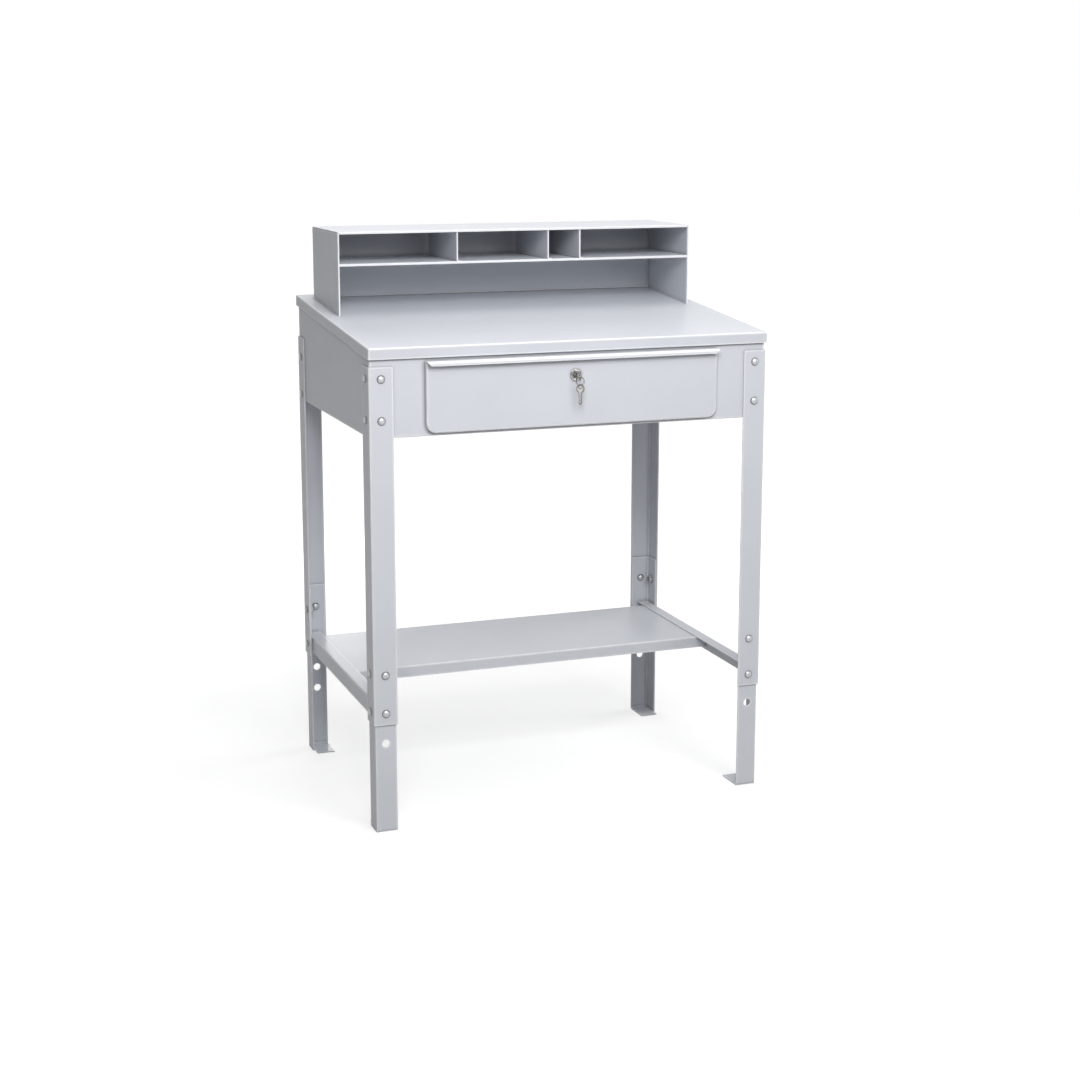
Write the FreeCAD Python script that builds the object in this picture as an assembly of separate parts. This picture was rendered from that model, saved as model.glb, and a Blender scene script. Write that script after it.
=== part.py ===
import FreeCAD, Part
import math
import os

# A shop desk of painted sheet steel. X runs to the right, Y to the back and Z up, in millimetres.
# The pieces are drawn about the middle of the legs' footprint and moved to the box's middle at the end.

Vector = FreeCAD.Vector

# Frame and legs
frame_width = 864.0            # outside of the legs, side to side
frame_depth = 600.0            # outside of the legs, front to back
leg_sheet = 2.7
leg_bend = 1.5                 # inside radius of a leg's bends
upper_flange = 50.0            # width of an upper leg's flanges
lower_flange = 45.0            # width of a lower leg's flanges
upper_leg_end = 228.0          # height of the upper legs' lower end
lower_leg_overrun = 52.0       # lower leg beyond its upper bolt
foot_length = 68.0             # foot plate, measured from the leg's face
foot_bend_height = 14.0        # where the foot's strip leaves the flange
foot_relief = 1.0              # slit beside the foot's bend

# Bolts through the legs
bolt_inset = 25.5              # bolt line from the leg's corner
bolt_end = 24.0                # first bolt from the end of the upper leg
body_bolt_pitch = 83.0
rear_bolt_offset = 14.0        # lowest rear body bolt above the body's lower edge
leg_bolt_pitch = 80.0
adjusting_hole_offset = 64.0   # first free hole below the lowest bolt
adjusting_hole_pitch = 50.0
adjusting_hole_radius = 8.0
front_free_holes = 1
rear_free_holes = 2
bolt_radius = 5.0
bolt_hole_play = 1.0
bolt_head_radius = 8.75
bolt_head_height = 5.0
bolt_tip = 2.5                 # bolt beyond its nut
nut_width = 16.0               # across the flats
nut_height = 8.0
nut_play = 0.05

# Sloped top
top_overhang = 5.0             # top's front and back edges beyond the legs
top_side_overhang = 1.0        # top's side edges beyond the legs
front_height = 996.0           # floor to the top's front edge
top_slope = 5.0                # degrees, rising to the back
top_sheet = 1.5
top_bend = 1.8
skirt_height = 23.0
leg_top_gap = 15.0             # skirt to the top of the legs, at the front

# Body panels
panel_sheet = 1.2
panel_bend = 1.2
apron_height = 180.0           # front edge of the top to the body's lower edge
corner_flange = 40.0           # side panels' flanges behind the front and back panels
edge_flange = 20.0             # flanges along the panels' upper and lower edges
flange_strip = 8.0             # part of a panel that its edge flange is folded from
corner_clearance = 2.0         # panel ends kept clear of the legs' bends

# Drawer front, pull and window
drawer_stile = 116.0           # outside of the legs to the drawer front's ends
drawer_front_height = 143.5
drawer_front_offset = 6.0      # above the body's lower edge
drawer_front_depth = 10.5
drawer_front_corner = 20.0     # radius of the lower corners
drawer_front_round = 4.0       # radius of the front edges
drawer_sheet = 1.2
drawer_bend = 1.2
drawer_front_gap = 0.5         # to the front panel
window_lap_side = 14.0         # drawer front over the window's sides
window_lap_low = 12.0
window_lap_high = 13.0
pull_sheet = 1.5
pull_reach = 13.0              # before the drawer front's face
pull_height = 9.5
pull_bend = 5.0
pull_end_cut = 9.0             # slant of the pull's ends

# Drawer box, rails and runners
drawer_rear_gap = 124.6        # drawer's back to the back panel's face
drawer_side_gap = 14.0         # drawer's side to the window's side
drawer_floor_gap = 4.0
drawer_rim_gap = 5.0
rim_fold = 8.0                 # rim folded in along the drawer's sides
plate_flange = 14.0            # flanges of the drawer's inner front and back
rail_height = 24.0
rail_reach = 13.0
rail_offset = 32.0             # rail above the drawer's floor
rail_setback = 12.0            # rail's front end behind the drawer front's face
runner_sheet = 1.5
runner_bend = 1.0
runner_play = 0.3
runner_reach = 12.5
runner_tab = 22.0
stop_width = 8.0
stop_reach = 6.0
drawer_travel = 340.0
stop_play = 1.0
rivet_radius = 2.0
rivet_head_radius = 4.0
rivet_head_height = 1.2
rivets_per_rail = 3

# Lock
lock_offset = 39.5             # below the drawer front's upper edge
lock_body_radius = 9.5
lock_body_length = 25.0        # behind the drawer front's face
lock_bezel_radius = 13.0
lock_bezel_height = 3.0
lock_bezel_round = 1.2
lock_hole_play = 0.2
lock_nut_width = 24.0
lock_nut_height = 4.0
plug_radius = 6.5
plug_play = 0.05
plug_proud = 0.5
spigot_width = 7.0
cam_sheet = 1.8
cam_reach = 36.0
cam_width = 14.0
cam_screw_radius = 2.0
cam_screw_head_radius = 5.0
cam_screw_head_height = 2.5
cam_screw_length = 8.0
keeper_width = 80.0
keeper_gap = 1.5               # keeper flange to the cam

# Keys and ring
key_sheet = 1.8
key_blade_width = 7.4
key_blade_length = 17.0
key_cut_depth = 1.8
key_cuts = 4
keyway_play = 0.3
key_neck = 7.0
key_bow_radius = 9.5
key_hole_radius = 3.4
key_hole_offset = 4.2          # from the bow's middle
ring_inner_radius = 7.5
ring_wire_radius = 0.8
ring_play = 0.3
spare_key_turn = 35.0          # degrees about the vertical, from the inserted key

# Stringers and lower shelf
stringer_sheet = 2.0
stringer_bend = 1.5
stringer_height = 35.0
stringer_flange = 28.0
stringer_offset = 21.0         # top of the stringer above the lowest bolt
shelf_sheet = 1.5
shelf_bend = 1.5
shelf_lip = 25.0
shelf_depth = 308.0
shelf_rear_gap = 38.0          # shelf's back edge to the outside of the rear legs
shelf_side_gap = 0.3

# Riser on the top
riser_side_inset = 30.0        # from the top's side edges
riser_rear_inset = 47.0        # from the top's back edge
riser_depth = 223.0
riser_front_height = 176.25    # desk top to the riser's top, at its front
riser_sheet = 1.2
riser_bend = 0.8
riser_lip = 5.0                # turned-down front edges
riser_flange = 10.0
riser_hem = 3.0                # thickness of the folded front edges
riser_hem_depth = 8.0
pigeonhole_height = 66.0       # riser's top to the shelf
outer_pigeonhole = 262.0       # width at each end
narrow_pigeonhole = 74.0
riser_foot = 18.0              # back panel's flange on the desk top
riser_screws = 4
riser_screw_radius = 2.4
riser_screw_play = 0.3
riser_screw_head_radius = 4.5
riser_screw_head_height = 3.0
riser_screw_length = 9.0

# Places worked out from the sizes
leg_x = frame_width / 2
leg_y = frame_depth / 2
panel_x = leg_x - leg_sheet
panel_y = leg_y - leg_sheet
nest_x = leg_x - leg_sheet
nest_y = leg_y - leg_sheet
stringer_x = nest_x - leg_sheet
upper_leg_top = front_height - skirt_height - leg_top_gap
body_bolt_heights = [upper_leg_top - bolt_end, upper_leg_top - bolt_end - body_bolt_pitch]
leg_bolt_heights = [upper_leg_end + bolt_end, upper_leg_end + bolt_end + leg_bolt_pitch]
lower_leg_top = leg_bolt_heights[1] + lower_leg_overrun
apron_low = front_height - apron_height
rear_bolt_heights = [apron_low + rear_bolt_offset + body_bolt_pitch, apron_low + rear_bolt_offset]
bolt_line_x = leg_x - bolt_inset
bolt_line_y = leg_y - bolt_inset
bolt_hole_radius = bolt_radius + bolt_hole_play
top_front = -leg_y - top_overhang
slope = math.radians(top_slope)
top_pivot = Vector(0, top_front, front_height)
top_width = frame_width + 2 * top_side_overhang
top_depth = (frame_depth + 2 * top_overhang) / math.cos(slope)
stringer_top = leg_bolt_heights[0] + stringer_offset
shelf_top = stringer_top - stringer_sheet
shelf_back = leg_y - shelf_rear_gap
shelf_front = shelf_back - shelf_depth

drawer_low = apron_low + drawer_front_offset
drawer_high = drawer_low + drawer_front_height
drawer_rear_face = -panel_y - drawer_front_gap
drawer_face = drawer_rear_face - drawer_front_depth
drawer_inside = drawer_face + drawer_sheet
drawer_front_width = frame_width - 2 * drawer_stile
window_x = drawer_front_width / 2 - window_lap_side
window_low = drawer_low + window_lap_low
window_high = drawer_high - window_lap_high
box_x = window_x - drawer_side_gap
box_low = window_low + drawer_floor_gap
box_high = window_high - drawer_rim_gap
box_back = panel_y - drawer_rear_gap
rail_low = box_low + rail_offset
rail_high = rail_low + rail_height
rail_front = drawer_face + rail_setback

lock_height = drawer_high - lock_offset
lock_rear = drawer_face + lock_body_length
bezel_face = drawer_face - lock_bezel_height
plug_face = bezel_face - plug_proud
cam_rear = lock_rear + cam_sheet
bow_middle = plug_face - key_neck - key_bow_radius
bow_hole = bow_middle - key_hole_offset
ring_middle_drop = key_hole_radius - ring_play + ring_inner_radius
spare_hole_top = lock_height - ring_middle_drop - ring_inner_radius + ring_play

riser_width = top_width - 2 * riser_side_inset
riser_x = riser_width / 2
riser_back = leg_y + top_overhang - riser_rear_inset
riser_front = riser_back - riser_depth
riser_height = front_height + (riser_front - top_front) * math.tan(slope) + riser_front_height
riser_under = riser_height - riser_sheet
riser_shelf_top = riser_under - pigeonhole_height
divider_places = [-riser_x + outer_pigeonhole, riser_x - outer_pigeonhole - narrow_pigeonhole,
                  riser_x - outer_pigeonhole]

spare_turn = math.radians(spare_key_turn)
spare_reach = key_bow_radius * math.cos(spare_turn) + key_sheet / 2 * math.sin(spare_turn)
front_reach = min(bow_middle - key_bow_radius, bow_hole - spare_reach)
back_reach = top_front + top_depth * math.cos(slope) + skirt_height * math.sin(slope)
box_shift = Vector(0, -(front_reach + back_reach) / 2, 0)
far = 2 * max(frame_width, frame_depth, riser_height)


# Shapes that several pieces share

def block(x_low, x_high, y_low, y_high, z_low, z_high):
    """A box between two corners."""
    return Part.makeBox(x_high - x_low, y_high - y_low, z_high - z_low, Vector(x_low, y_low, z_low))


def rod(start, direction, radius, length):
    """A round bar from a point along a direction."""
    return Part.makeCylinder(radius, length, start, direction)


def across_x(a, b):
    """Places a profile's point in the plane square to X: a is Y and b is Z."""
    return Vector(0, a, b)


def across_y(a, b):
    """Places a profile's point in the plane square to Y: a is X and b is Z."""
    return Vector(a, 0, b)


def across_z(a, b):
    """Places a profile's point in the plane square to Z: a is X and b is Y."""
    return Vector(a, b, 0)


def bent_sheet(path, sheet, bend, place, start, end):
    """A folded sheet: its profile follows the path along one face and lies on the path's left.

    bend is the inside radius of every fold; start and end are the sheet's ends along the profile's axis."""
    points = [Vector(a, b, 0) for a, b in path]
    runs = [(points[i + 1] - points[i]).normalize() for i in range(len(points) - 1)]
    lefts = [Vector(-run.y, run.x, 0) for run in runs]
    near = [points[0]]
    far_side = [points[0] + lefts[0] * sheet]
    middles = []
    for i in range(1, len(points) - 1):
        before = runs[i - 1]
        after = runs[i]
        turn = math.atan2(before.x * after.y - before.y * after.x, before.dot(after))
        side = 1 if turn > 0 else -1
        near_radius = bend + sheet if turn > 0 else bend
        far_radius = bend if turn > 0 else bend + sheet
        setback = near_radius * math.tan(abs(turn) / 2)
        fold_start = points[i] - before * setback
        fold_end = points[i] + after * setback
        centre = fold_start + lefts[i - 1] * (side * near_radius)
        outward = (points[i] - centre).normalize()
        near += [fold_start, fold_end]
        far_side += [fold_start + lefts[i - 1] * sheet, fold_end + lefts[i] * sheet]
        middles.append((centre + outward * near_radius, centre + outward * far_radius))
    near.append(points[-1])
    far_side.append(points[-1] + lefts[-1] * sheet)

    def spot(point):
        return place(point.x, point.y)

    edges = []
    for i in range(len(near) - 1):
        if i % 2 == 0:
            edges.append(Part.LineSegment(spot(near[i]), spot(near[i + 1])).toShape())
        else:
            edges.append(Part.Arc(spot(near[i]), spot(middles[i // 2][0]), spot(near[i + 1])).toShape())
    edges.append(Part.LineSegment(spot(near[-1]), spot(far_side[-1])).toShape())
    for i in range(len(far_side) - 1, 0, -1):
        if (i - 1) % 2 == 0:
            edges.append(Part.LineSegment(spot(far_side[i]), spot(far_side[i - 1])).toShape())
        else:
            middle = middles[(i - 1) // 2][1]
            edges.append(Part.Arc(spot(far_side[i]), spot(middle), spot(far_side[i - 1])).toShape())
    edges.append(Part.LineSegment(spot(far_side[0]), spot(near[0])).toShape())
    axis = Vector(1, 1, 1) - place(1, 1)
    profile = Part.Face(Part.Wire(edges))
    profile.translate(axis * start)
    return profile.extrude(axis * (end - start))


def rounded_block(low, high, radius, square_faces):
    """A box whose edges are rounded, apart from those on the named square faces."""
    solid = Part.makeBox(high.x - low.x, high.y - low.y, high.z - low.z, low)
    planes = {"left": ("x", low.x), "right": ("x", high.x), "front": ("y", low.y),
              "back": ("y", high.y), "bottom": ("z", low.z), "top": ("z", high.z)}
    edges = []
    for edge in solid.Edges:
        middle = (edge.Vertexes[0].Point + edge.Vertexes[1].Point) * 0.5
        on_square = [abs(getattr(middle, planes[name][0]) - planes[name][1]) < 1e-6 for name in square_faces]
        if not any(on_square):
            edges.append(edge)
    return solid.makeFillet(radius, edges)


def tray(low, high, sheet, bend):
    """A sheet folded down on four sides, open below."""
    outside = rounded_block(low, high, bend + sheet, ["bottom"])
    inside_low = Vector(low.x + sheet, low.y + sheet, low.z - sheet)
    inside_high = Vector(high.x - sheet, high.y - sheet, high.z - sheet)
    return outside.cut(rounded_block(inside_low, inside_high, bend, ["bottom"]))


def round_plate(outline, thickness, place_axis):
    """A flat plate from a closed list of edges, extruded along an axis."""
    return Part.Face(Part.Wire(outline)).extrude(place_axis * thickness)


def turned(points):
    """A solid of revolution about Z from (radius, height) points."""
    wire = Part.makePolygon([Vector(r, 0, h) for r, h in points + points[:1]])
    return Part.Face(wire).revolve(Vector(0, 0, 0), Vector(0, 0, 1), 360)


def aimed(shape, point, direction):
    """A copy of a shape drawn along +Z, moved to a point and turned to a direction."""
    copy = shape.copy()
    copy.Placement = FreeCAD.Placement(point, FreeCAD.Rotation(Vector(0, 0, 1), direction))
    return copy


def mirrored(shape, normal):
    """The shape on the other side of the frame's middle plane."""
    return shape.mirror(Vector(0, 0, 0), normal)


def on_slope(shape):
    """A shape drawn with a level top, tilted with the desk top."""
    copy = shape.copy()
    copy.rotate(top_pivot, Vector(1, 0, 0), top_slope)
    return copy


def desk_surface(y):
    """Height of the desk top's upper face at a depth."""
    return front_height + (y - top_front) * math.tan(slope)


def desk_underside(y):
    """Height of the desk top's lower face at a depth."""
    return desk_surface(y) - top_sheet / math.cos(slope)


def along_slope(y):
    """Depth on the level drawing of the top that tilts to a depth y on its upper face."""
    return top_front + (y - top_front) / math.cos(slope)


below_top = on_slope(block(-far, far, -far, far, -far, front_height - top_sheet))
above_top = on_slope(block(-far, far, -far, far, front_height, far))
RIGHT = Vector(1, 0, 0)
BACK = Vector(0, 1, 0)
UP = Vector(0, 0, 1)


# Bolts, nuts and screws

def round_bolt(grip):
    """A round-headed bolt whose head seats at height 0, with its shank going up through the grip."""
    sphere_radius = (bolt_head_radius ** 2 + bolt_head_height ** 2) / (2 * bolt_head_height)
    sphere = Part.makeSphere(sphere_radius, Vector(0, 0, sphere_radius - bolt_head_height))
    head = sphere.common(rod(Vector(0, 0, -bolt_head_height), UP, bolt_head_radius, bolt_head_height))
    shank = rod(Vector(0, 0, 0), UP, bolt_radius, grip + nut_height + bolt_tip)
    return head.fuse(shank).removeSplitter()


def hex_nut(width, height, bore):
    """A chamfered hexagon nut that sits on height 0."""
    corner = width / 2 / math.cos(math.radians(30))
    corners = [Vector(corner * math.cos(math.radians(60 * i)), corner * math.sin(math.radians(60 * i)), 0)
               for i in range(7)]
    hexagon = Part.Face(Part.makePolygon(corners)).extrude(Vector(0, 0, height))
    chamfer = (corner - width / 2) * math.tan(math.radians(30))
    turned_face = turned([(0, 0), (width / 2, 0), (corner, chamfer), (corner, height - chamfer),
                          (width / 2, height), (0, height)])
    hole = rod(Vector(0, 0, -height), UP, bore, 3 * height)
    return hexagon.common(turned_face).cut(hole)


def corner_bolts(front_heights, rear_heights, front_grip, side_grip, rear_heads_inside=False):
    """Bolts and nuts at the front and rear legs, through the front or back flange and the side flange."""
    front_bolt = round_bolt(front_grip)
    side_bolt = round_bolt(side_grip)
    nut = hex_nut(nut_width, nut_height, bolt_radius + nut_play)
    bolts = []
    nuts = []
    for side in (-1, 1):
        for end, heights in ((-1, front_heights), (1, rear_heights)):
            for height in heights:
                front_spot = Vector(side * bolt_line_x, end * leg_y, height)
                side_spot = Vector(side * leg_x, end * bolt_line_y, height)
                driven_y = Vector(0, -end, 0)
                inward_x = Vector(-side, 0, 0)
                if rear_heads_inside and end == 1:
                    front_spot = front_spot + driven_y * front_grip
                    driven_y = BACK
                bolts.append(aimed(front_bolt, front_spot, driven_y))
                bolts.append(aimed(side_bolt, side_spot, inward_x))
                nuts.append(aimed(nut, front_spot + driven_y * front_grip, driven_y))
                nuts.append(aimed(nut, side_spot + inward_x * side_grip, inward_x))
    return bolts, nuts


def leg_holes(front_heights, side_heights, radius=bolt_hole_radius):
    """Round holes along the front left leg's bolt lines, as one tool to cut with."""
    holes = []
    for height in front_heights:
        start = Vector(-bolt_line_x, -leg_y - upper_flange, height)
        holes.append(rod(start, BACK, radius, 2 * upper_flange))
    for height in side_heights:
        start = Vector(-leg_x - upper_flange, -bolt_line_y, height)
        holes.append(rod(start, RIGHT, radius, 2 * upper_flange))
    return Part.makeCompound(holes)


# Legs

def upper_leg(body_heights):
    """The front left upper leg, an angle with its corner outside, for given heights of the body's bolts."""
    path = [(-leg_x, -leg_y + upper_flange), (-leg_x, -leg_y), (-leg_x + upper_flange, -leg_y)]
    angle = bent_sheet(path, leg_sheet, leg_bend, across_z, upper_leg_end, upper_leg_top)
    heights = body_heights + leg_bolt_heights
    return angle.cut(leg_holes(heights, heights))


def lower_leg(free_count):
    """The front left lower leg, an angle that nests inside the upper one and ends in a bent foot."""
    corner = -nest_x
    face = -nest_y
    path = [(corner, face + lower_flange), (corner, face), (corner + lower_flange, face)]
    angle = bent_sheet(path, leg_sheet, leg_bend, across_z, 0, lower_leg_top)
    strip_start = corner + leg_sheet + leg_bend
    notch = block(strip_start, corner + 2 * lower_flange, face - leg_sheet, face + leg_sheet + leg_bend,
                  -leg_sheet, foot_bend_height)
    foot_path = [(face, foot_bend_height), (face, 0), (face + foot_length, 0)]
    foot = bent_sheet(foot_path, leg_sheet, leg_bend, across_x,
                      strip_start + foot_relief, corner + lower_flange)
    free_heights = [leg_bolt_heights[0] - adjusting_hole_offset - i * adjusting_hole_pitch
                    for i in range(free_count)]
    leg = angle.cut(notch).fuse(foot).removeSplitter()
    free_holes = leg_holes(free_heights, [], adjusting_hole_radius)
    return leg.cut(leg_holes(leg_bolt_heights, leg_bolt_heights)).cut(free_holes)


# Top and body panels

def desk_top():
    """The sloped top, a tray with its edges turned down and holes for the riser's screws."""
    low = Vector(-top_width / 2, top_front, front_height - skirt_height)
    high = Vector(top_width / 2, top_front + top_depth, front_height)
    return on_slope(tray(low, high, top_sheet, top_bend)).cut(riser_screw_holes(riser_screw_radius))


def flange_ends(face, direction):
    """What is cut from a panel's edge flanges where the side panels' flanges stand behind it."""
    inner = face + direction * panel_sheet
    deep = face + direction * 2 * edge_flange
    end = block(panel_x - corner_flange - corner_clearance, far, min(inner, deep), max(inner, deep), 0, far)
    return Part.makeCompound([end, mirrored(end, RIGHT)])


def front_panel():
    """The front panel with the drawer's window and the flange that the lock's cam catches."""
    face = -panel_y
    path = [(face + edge_flange, desk_underside(face + edge_flange)), (face, desk_underside(face)),
            (face, apron_low), (face + edge_flange, apron_low)]
    half = panel_x - corner_clearance
    panel = bent_sheet(path, panel_sheet, panel_bend, across_x, -half, half)
    window = block(-window_x, window_x, face - edge_flange, face + panel_sheet + panel_bend,
                   window_low, window_high)
    keeper_notch = block(-keeper_width / 2, keeper_width / 2, face - panel_sheet,
                         face + panel_sheet + panel_bend, window_high - panel_sheet,
                         window_high + flange_strip)
    keeper_path = [(face, window_high + flange_strip), (face, window_high),
                   (lock_rear - keeper_gap, window_high)]
    keeper = bent_sheet(keeper_path, panel_sheet, panel_bend, across_x, -keeper_width / 2, keeper_width / 2)
    panel = panel.cut(window).cut(keeper_notch).fuse(keeper).removeSplitter().cut(flange_ends(face, 1))
    holes = leg_holes(body_bolt_heights, [])
    return panel.cut(holes).cut(mirrored(holes, RIGHT))


def back_panel():
    """The plain back panel."""
    face = panel_y
    path = [(face - edge_flange, apron_low), (face, apron_low), (face, desk_underside(face)),
            (face - edge_flange, desk_underside(face - edge_flange))]
    half = panel_x - corner_clearance
    panel = bent_sheet(path, panel_sheet, panel_bend, across_x, -half, half).cut(flange_ends(face, -1))
    holes = mirrored(leg_holes(rear_bolt_heights, []), BACK)
    return panel.cut(holes).cut(mirrored(holes, RIGHT))


def side_panel():
    """The left side panel: flanged behind the front and back panels, and along its two long edges."""
    face = -panel_x
    end = panel_y - panel_sheet
    path = [(face + corner_flange, end), (face, end), (face, -end), (face + corner_flange, -end)]
    web = bent_sheet(path, panel_sheet, panel_bend, across_z, apron_low, riser_height)
    web = web.common(below_top)
    fold_end = end - corner_flange
    fold_depth = panel_sheet + panel_bend
    low_notch = block(face - fold_depth, face + fold_depth, -fold_end, fold_end,
                      apron_low - fold_depth, apron_low + flange_strip)
    low_path = [(face, apron_low + flange_strip), (face, apron_low), (face + edge_flange, apron_low)]
    low_fold = bent_sheet(low_path, panel_sheet, panel_bend, across_y, -fold_end, fold_end)
    underside = front_height - top_sheet
    high_notch = on_slope(block(face - fold_depth, face + fold_depth, -fold_end, fold_end,
                                underside - flange_strip, underside + fold_depth))
    high_path = [(face + edge_flange, underside), (face, underside), (face, underside - flange_strip)]
    high_fold = on_slope(bent_sheet(high_path, panel_sheet, panel_bend, across_y, -fold_end, fold_end))
    panel = web.cut(low_notch).cut(high_notch).fuse([low_fold, high_fold]).removeSplitter()
    front_holes = leg_holes(body_bolt_heights, body_bolt_heights)
    rear_holes = mirrored(leg_holes(rear_bolt_heights, rear_bolt_heights), BACK)
    return panel.cut(front_holes).cut(rear_holes)


# Stringers and lower shelf

def stringer():
    """The left stringer, an angle bolted inside the legs with its flange on the shelf."""
    path = [(-stringer_x + stringer_flange, stringer_top), (-stringer_x, stringer_top),
            (-stringer_x, stringer_top - stringer_height)]
    end = nest_y - leg_sheet - corner_clearance
    angle = bent_sheet(path, stringer_sheet, stringer_bend, across_y, -end, end)
    holes = leg_holes([], leg_bolt_heights[:1])
    return angle.cut(holes).cut(mirrored(holes, BACK))


def lower_shelf():
    """The lower shelf, a tray under the stringers' flanges."""
    half = stringer_x - stringer_sheet - shelf_side_gap
    low = Vector(-half, shelf_front, shelf_top - shelf_lip)
    high = Vector(half, shelf_back, shelf_top)
    return tray(low, high, shelf_sheet, shelf_bend)


# Riser

def riser_screw_spots():
    """Places of the riser's screws on the level drawing of the top."""
    depth = along_slope(riser_back + riser_foot / 2)
    pitch = riser_width / riser_screws
    return [Vector(-riser_x + pitch * (i + 0.5), depth, front_height) for i in range(riser_screws)]


def riser_screw_holes(radius):
    """Holes for the riser's screws, square to the desk top."""
    drills = [rod(spot - UP * riser_screw_length, UP, radius, 2 * riser_screw_length)
              for spot in riser_screw_spots()]
    return on_slope(Part.makeCompound(drills))


def riser_screw_set():
    """Round-headed screws through the riser's rear flange into the desk top."""
    screws = []
    for spot in riser_screw_spots():
        seat = spot + UP * riser_sheet
        head = rod(seat, UP, riser_screw_head_radius, riser_screw_head_height)
        rim = [edge for edge in head.Edges if edge.BoundBox.ZMin > seat.z + riser_screw_head_height / 2]
        head = head.makeFillet(riser_screw_head_height / 2, [edge for edge in rim if edge.Closed])
        shank = rod(seat - UP * riser_screw_length, UP, riser_screw_radius, riser_screw_length)
        screws.append(on_slope(head.fuse(shank).removeSplitter()))
    return screws


def riser_top():
    """The riser's top, with its front edge turned down between the sides."""
    path = [(riser_back, riser_height), (riser_front, riser_height),
            (riser_front, riser_height - riser_lip)]
    plate = bent_sheet(path, riser_sheet, riser_bend, across_x, -riser_x, riser_x)
    lip_end = riser_x - riser_hem
    corner = block(lip_end, riser_x + riser_hem, riser_front - riser_sheet, riser_front + riser_hem,
                   riser_height - 2 * riser_lip, riser_under)
    return plate.cut(corner).cut(mirrored(corner, RIGHT))


def riser_side():
    """The left side of the riser: flanged under the top, hemmed in front and cut along the slope."""
    path = [(-riser_x + riser_flange, riser_under), (-riser_x, riser_under), (-riser_x, apron_low)]
    sheet = bent_sheet(path, riser_sheet, riser_bend, across_y, riser_front, riser_back)
    hem = block(-riser_x, -riser_x + riser_hem, riser_front, riser_front + riser_hem_depth,
                apron_low, riser_under - riser_hem)
    lip_room = block(-riser_x + riser_hem, riser_x, riser_front - riser_sheet, riser_front + riser_hem,
                     riser_under - riser_lip, riser_under + riser_sheet)
    back_room = block(-riser_x + riser_sheet, riser_x, riser_back - riser_sheet - riser_bend, far,
                      apron_low, riser_height)
    return sheet.fuse(hem).cut(lip_room).cut(back_room).common(above_top).removeSplitter()


def riser_back_panel():
    """The riser's back, flanged under the top and screwed down by a flange behind it."""
    face = riser_back - riser_sheet
    foot = riser_back + riser_foot
    path = [(face - riser_flange, riser_under - riser_sheet), (face, riser_under - riser_sheet),
            (face, desk_surface(face)), (foot, desk_surface(foot))]
    half = riser_x - riser_sheet
    flange_end = riser_x - riser_flange - riser_sheet
    panel = bent_sheet(path, riser_sheet, riser_bend, across_x, -half, half)
    corner = block(flange_end, riser_x, face - 2 * riser_flange, face,
                   riser_shelf_top, riser_under + riser_sheet)
    panel = panel.cut(corner).cut(mirrored(corner, RIGHT))
    return panel.cut(riser_screw_holes(riser_screw_radius + riser_screw_play))


def riser_shelf():
    """The riser's shelf, with its front edge and its two ends turned down."""
    half = riser_x - riser_sheet
    rear = riser_back - riser_sheet
    path = [(rear, riser_shelf_top), (riser_front, riser_shelf_top),
            (riser_front, riser_shelf_top - riser_lip)]
    plate = bent_sheet(path, riser_sheet, riser_bend, across_x, -half, half)
    end_front = riser_front + riser_hem_depth
    end_flange = block(half - riser_sheet, half, end_front, rear,
                       riser_shelf_top - riser_flange, riser_shelf_top)
    corner = block(riser_x - riser_hem, riser_x, riser_front - riser_hem, end_front,
                   riser_shelf_top - riser_flange, riser_shelf_top + riser_sheet)
    plate = plate.fuse([end_flange, mirrored(end_flange, RIGHT)])
    return plate.cut(corner).cut(mirrored(corner, RIGHT)).removeSplitter()


def riser_divider(place):
    """A divider between the riser's shelf and top, flanged above and below and hemmed in front."""
    path = [(place + riser_flange, riser_under), (place, riser_under), (place, riser_shelf_top),
            (place + riser_flange, riser_shelf_top)]
    front = riser_front + riser_sheet + riser_bend
    rear = riser_back - riser_sheet - riser_flange
    sheet = bent_sheet(path, riser_sheet, riser_bend, across_y, front, rear)
    hem = block(place, place + riser_hem, front, front + riser_hem_depth,
                riser_shelf_top + riser_sheet, riser_under - riser_sheet)
    return sheet.fuse(hem).removeSplitter()


# Drawer

def drawer_outline(inset):
    """The drawer front's outline in the plane of its face, with round lower corners."""
    half = drawer_front_width / 2 - inset
    low = drawer_low + inset
    high = drawer_high - inset
    radius = drawer_front_corner - inset
    slant = radius * (1 - math.cos(math.radians(45)))
    left_low = Vector(-half, 0, low + radius)
    low_left = Vector(-half + radius, 0, low)
    low_right = Vector(half - radius, 0, low)
    right_low = Vector(half, 0, low + radius)
    left_high = Vector(-half, 0, high)
    right_high = Vector(half, 0, high)
    return [Part.LineSegment(left_high, left_low).toShape(),
            Part.Arc(left_low, Vector(-half + slant, 0, low + slant), low_left).toShape(),
            Part.LineSegment(low_left, low_right).toShape(),
            Part.Arc(low_right, Vector(half - slant, 0, low + slant), right_low).toShape(),
            Part.LineSegment(right_low, right_high).toShape(),
            Part.LineSegment(right_high, left_high).toShape()]


def front_rounded(solid, face_y, radius):
    """Rounds the edges that lie on a solid's front face."""
    edges = [edge for edge in solid.Edges
             if abs(edge.BoundBox.YMin - face_y) < 1e-3 and abs(edge.BoundBox.YMax - face_y) < 1e-3]
    return solid.makeFillet(radius, edges)


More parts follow.
